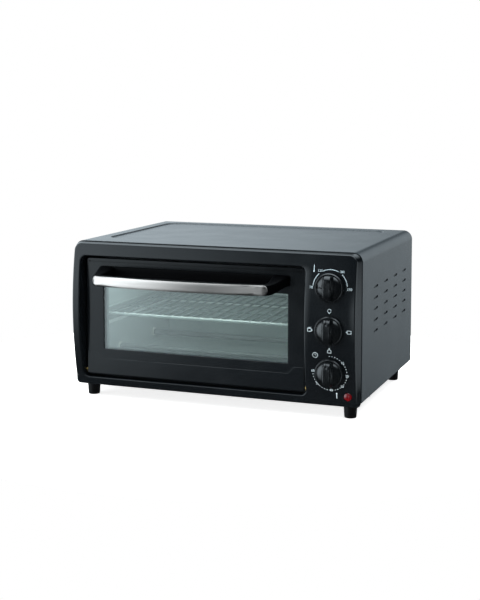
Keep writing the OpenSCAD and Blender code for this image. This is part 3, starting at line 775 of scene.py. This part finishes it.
def build_lens():
    lo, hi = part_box("indicator_lens")
    mid = (lo + hi) / 2
    r = (hi.x - lo.x) / 2
    front = face_y(mid.z) - 0.5 * MM
    line = [(r, hi.y), (r, front)]
    for t in range(12, 85, 12):
        line.append((r * cos(radians(t)), front - 1.5 * MM * sin(radians(t))))
    bm = bmesh.new()
    lathe(bm, mid.x, mid.z, line, 40)
    lens = new_object("indicator_cap", bm)
    smooth(lens, 50)
    return place(lens, "case", "indicator_red", "indicator_lens")


# ---------------------------------------------------------------- dial print
def build_print():
    bm = bmesh.new()

    def vert(x, z):
        return bm.verts.new((x, face_y(z) - PRINT_LIFT, z))

    def stroke(points, width):
        rows = []
        for i, p in enumerate(points):
            a, b = points[max(i - 1, 0)], points[min(i + 1, len(points) - 1)]
            dx, dz = b[0] - a[0], b[1] - a[1]
            size = hypot(dx, dz)
            nx, nz = -dz / size * width / 2, dx / size * width / 2
            rows.append((vert(p[0] + nx, p[1] + nz), vert(p[0] - nx, p[1] - nz)))
        for (a, b), (c, d) in zip(rows, rows[1:]):
            bm.faces.new((a, b, d, c))

    def arc(x, z, r, a0, a1, width, n=None):
        """Clockwise from 12 o'clock, in degrees."""
        n = n or max(4, int(abs(a1 - a0) / 4))
        turn = [radians(a0 + (a1 - a0) * k / n) for k in range(n + 1)]
        stroke([(x + r * sin(a), z + r * cos(a)) for a in turn], width)

    def dot(x, z, r):
        turn = [2 * pi * k / 12 for k in range(12)]
        bm.faces.new([vert(x + r * cos(a), z + r * sin(a)) for a in turn])

    def outline(points, width):
        for a, b in zip(points, points[1:] + points[:1]):
            stroke([a, b], width)

    def round_at(x, z, r, a):
        """The point at radius r, a degrees clockwise from 12 o'clock."""
        return x + r * sin(radians(a)), z + r * cos(radians(a))

    def box(x, z, w, h):
        """The corners of a symbol's frame, from its half width and half height."""
        return [(x - w, z - h), (x + w, z - h), (x + w, z + h), (x - w, z + h)]

    def number(text, x, z, size=4.4 * MM):
        curve = bpy.data.curves.new("digits", "FONT")
        curve.body = text
        curve.size = size
        curve.align_x = "CENTER"
        curve.align_y = "CENTER"
        curve.resolution_u = 3
        obj = bpy.data.objects.new("digits", curve)
        scene.collection.objects.link(obj)
        bpy.context.view_layer.update()
        graph = bpy.context.evaluated_depsgraph_get()
        mesh = bpy.data.meshes.new_from_object(obj.evaluated_get(graph))
        bpy.data.objects.remove(obj)
        made = [vert(x + v.co.x, z + v.co.y) for v in mesh.vertices]
        for f in mesh.polygons:
            bm.faces.new([made[i] for i in f.vertices])
        bpy.data.meshes.remove(mesh)

    def middle(node):
        lo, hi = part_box(node)
        return (lo.x + hi.x) / 2, (lo.z + hi.z) / 2

    radius = 21.6 * MM
    # Temperature: three arcs, four numbers, a thermometer
    x, z = middle("thermostat_knob")
    for a0, a1 in ((-86, -42), (-27, 27), (42, 84)):
        arc(x, z, radius, a0, a1, 0.8 * MM)
    for text, a, r in (("70", -92, 23.8), ("120", -34, 23.8), ("180", 36, 23.8), ("230", 93, 24.4)):
        number(text, *round_at(x, z, r * MM, a))
    tx, tz = x - 21 * MM, z + 22.5 * MM
    stroke([(tx, tz - 3.4 * MM), (tx, tz + 3.6 * MM)], 0.9 * MM)
    dot(tx, tz - 3.6 * MM, 1.1 * MM)
    dot(tx, tz + 3.6 * MM, 0.45 * MM)
    # Function: a mark and a plain symbol at each quarter turn
    x, z = middle("function_knob")
    for a in (0, 90, 180, -90):
        dot(*round_at(x, z, radius, a), 0.7 * MM)
    arc(x, z + 24.6 * MM, 2.2 * MM, 0, 360, 0.6 * MM, 20)
    for s in (-1, 1):
        outline(box(x + s * 25 * MM, z, 2.4 * MM, 1.8 * MM), 0.6 * MM)
    stroke([(x - 27 * MM, z + 3 * MM), (x - 23 * MM, z + 3 * MM)], 0.6 * MM)
    roof = box(x, z - 25.5 * MM, 2.2 * MM, 1.5 * MM)
    roof.insert(3, (x, z - 22.6 * MM))
    outline(roof, 0.6 * MM)
    # Timer: a dotted ring with six numbers, and a clock
    x, z = middle("timer_knob")
    numbers = {48.7: "10", 95: "20", 136.5: "30", 178: "40", 228: "50", 275: "60"}
    for k in range(31):
        a = k * 9.1
        if a < 272 and min(abs(a - b) for b in numbers) > 5:
            dot(*round_at(x, z, radius, a), 0.55 * MM)
    for a, text in numbers.items():
        number(text, *round_at(x, z, radius, a))
    cx, cz = x - 18 * MM, z + 22 * MM
    arc(cx, cz, 3.2 * MM, 0, 360, 0.5 * MM, 24)
    stroke([(cx, cz + 2.1 * MM), (cx, cz), (cx + 1.5 * MM, cz)], 0.45 * MM)
    # A lamp symbol beside the indicator
    x, z = middle("indicator_lens")
    x -= 14 * MM
    stroke([(x, z - 3.2 * MM), (x, z + 3.2 * MM)], 1.0 * MM)
    dot(x, z + 3.2 * MM, 0.9 * MM)

    for f in bm.faces:
        f.normal_update()
        if f.normal.y > 0:
            f.normal_flip()
    mesh = bpy.data.meshes.new("dial_print")
    bm.to_mesh(mesh)
    bm.free()
    obj = bpy.data.objects.new("dial_print", mesh)
    scene.collection.objects.link(obj)
    mesh.materials.append(DIAL_WHITE)
    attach(obj, "case")
    return obj


# ---------------------------------------------------------------- build
build_wrap()
build_front()
build_door()
build_handle()
build_knob("thermostat_dial", "thermostat_knob", "thermostat", -90)
build_knob("function_dial", "function_knob", "function", 0)
build_knob("timer_dial", "timer_knob", "timer", 0)
for corner in ("front_left", "front_right", "rear_left", "rear_right"):
    build_foot(corner + "_foot", "foot_" + corner)
build_lens()
build_print()

SLOT_OF = {s["node"]: s["material_slot"] for s in frame["record"]["subparts"]}
for node, obj in frame["nodes"].items():
    slot = SLOT_OF[node]
    obj.data.materials.clear()
    obj.data.materials.append(MATERIALS[slot])
    if obj.hide_render:
        continue
    m = obj.modifiers.new("weld", "WELD")
    m.merge_threshold = 1e-5
    bevel(obj, 0.25 * MM, 40)
    obj.modifiers.new("normals", "WEIGHTED_NORMAL")

# ---------------------------------------------------------------- stage
bm = bmesh.new()
turn = [2 * pi * k / 96 for k in range(96)]
reach = (0.02, 0.12, 0.24, 0.36, 0.5)
loft(bm, [[(r * cos(a), 0.93 * r * sin(a), 0) for a in turn] for r in reach], first=True)
floor = new_object("floor", bm)
if floor.data.polygons[0].normal.z < 0:
    floor.data.flip_normals()
floor.data.materials.append(surface(
    "floor_white", (0.93, 0.83, 0.78), 0.9, vary=0.004, relief=0.02, Specular_IOR_Level=0.0,
    Emission_Color=(1, 1, 1, 1), Emission_Strength=0.8,
))
floor.visible_glossy = False

world = bpy.data.worlds.new("studio")
scene.world = world
world.use_nodes = True
tree = world.node_tree
tree.nodes.clear()


def wnode(kind, **values):
    node = tree.nodes.new(kind)
    for key, value in values.items():
        setattr(node, key, value)
    return node


direction = wnode("ShaderNodeTexCoord").outputs["Generated"]


def glow(azimuth, elevation, width, level, base=None):
    """A soft patch of light. azimuth 0 is behind the object (+Y), 90 is to its right (+X)."""
    a, e = radians(azimuth), radians(elevation)
    dot = wnode("ShaderNodeVectorMath", operation="DOT_PRODUCT")
    tree.links.new(direction, dot.inputs[0])
    dot.inputs[1].default_value = (sin(a) * cos(e), cos(a) * cos(e), sin(e))
    ramp = wnode("ShaderNodeMapRange", interpolation_type="SMOOTHSTEP")
    ramp.inputs["From Min"].default_value = cos(radians(width))
    ramp.inputs["From Max"].default_value = 1.0
    ramp.inputs["To Min"].default_value = 0.0
    ramp.inputs["To Max"].default_value = level
    tree.links.new(dot.outputs["Value"], ramp.inputs["Value"])
    if base is None:
        return ramp.outputs[0]
    add = wnode("ShaderNodeMath", operation="ADD")
    tree.links.new(base, add.inputs[0])
    tree.links.new(ramp.outputs[0], add.inputs[1])
    return add.outputs[0]


light = glow(0, 90, 60, 4.9)                 # overhead
light = glow(-48, 8, 46, 1.2, light)         # behind, left
light = glow(22, 9, 31, 0.85, light)         # behind, right
light = glow(-125, 6, 40, 4.3, light)        # before, left
light = glow(180, 0, 150, 0.05, light)       # all round the front
light = glow(-176, -6, 11, 1.9, light)       # a narrow card before the handle
light = glow(53, -6, 24, 0.8, light)         # another for the frame's right flank
tint = wnode("ShaderNodeVectorMath", operation="SCALE")
tint.inputs[0].default_value = (0.83, 0.95, 1.02)
tree.links.new(light, tint.inputs["Scale"])
lit = wnode("ShaderNodeBackground")
tree.links.new(tint.outputs[0], lit.inputs["Color"])
seen = wnode("ShaderNodeBackground")
seen.inputs["Color"].default_value = (1, 1, 1, 1)
path = wnode("ShaderNodeLightPath")
both = wnode("ShaderNodeMixShader")
tree.links.new(path.outputs["Is Camera Ray"], both.inputs[0])
tree.links.new(lit.outputs[0], both.inputs[1])
tree.links.new(seen.outputs[0], both.inputs[2])
tree.links.new(both.outputs[0], wnode("ShaderNodeOutputWorld").inputs["Surface"])


def softbox(name, spot, aim, size, power, colour):
    data = bpy.data.lights.new(name, "AREA")
    data.shape = "RECTANGLE"
    data.size, data.size_y = size
    data.energy = power
    data.color = colour
    obj = bpy.data.objects.new(name, data)
    scene.collection.objects.link(obj)
    obj.location = spot
    obj.rotation_euler = (Vector(aim) - Vector(spot)).to_track_quat("-Z", "Y").to_euler()
    obj.visible_camera = False


softbox("key", (-0.9, -0.2, 1.5), (0, 0, 0), (0.9, 0.9), 3, (0.9, 0.97, 1.0))
# Two faint strips under the roof of the cavity stand in for light the window lets in
softbox("inside", (CX, YF + 0.035, 0.176), (CX, YF + 0.2, 0.08), (0.22, 0.03), 0.11, (0.9, 1.0, 1.0))
softbox("mouth", (CX, YF + 0.012, 0.150), (CX, YF + 0.05, 0.09), (0.25, 0.012), 0.045, (0.9, 1.0, 1.0))

cam = bpy.data.cameras.new("camera")
cam.lens = 72.95
cam.sensor_width = 36
cam.shift_x = 0.0013
cam.shift_y = -0.15
camera = bpy.data.objects.new("camera", cam)
camera.location = (0.5697, -1.5189, 0.3909)
camera.rotation_euler = Euler((radians(90 - 5.19), 0, radians(20.72)))
scene.collection.objects.link(camera)
scene.camera = camera
scene.view_settings.view_transform = "Standard"
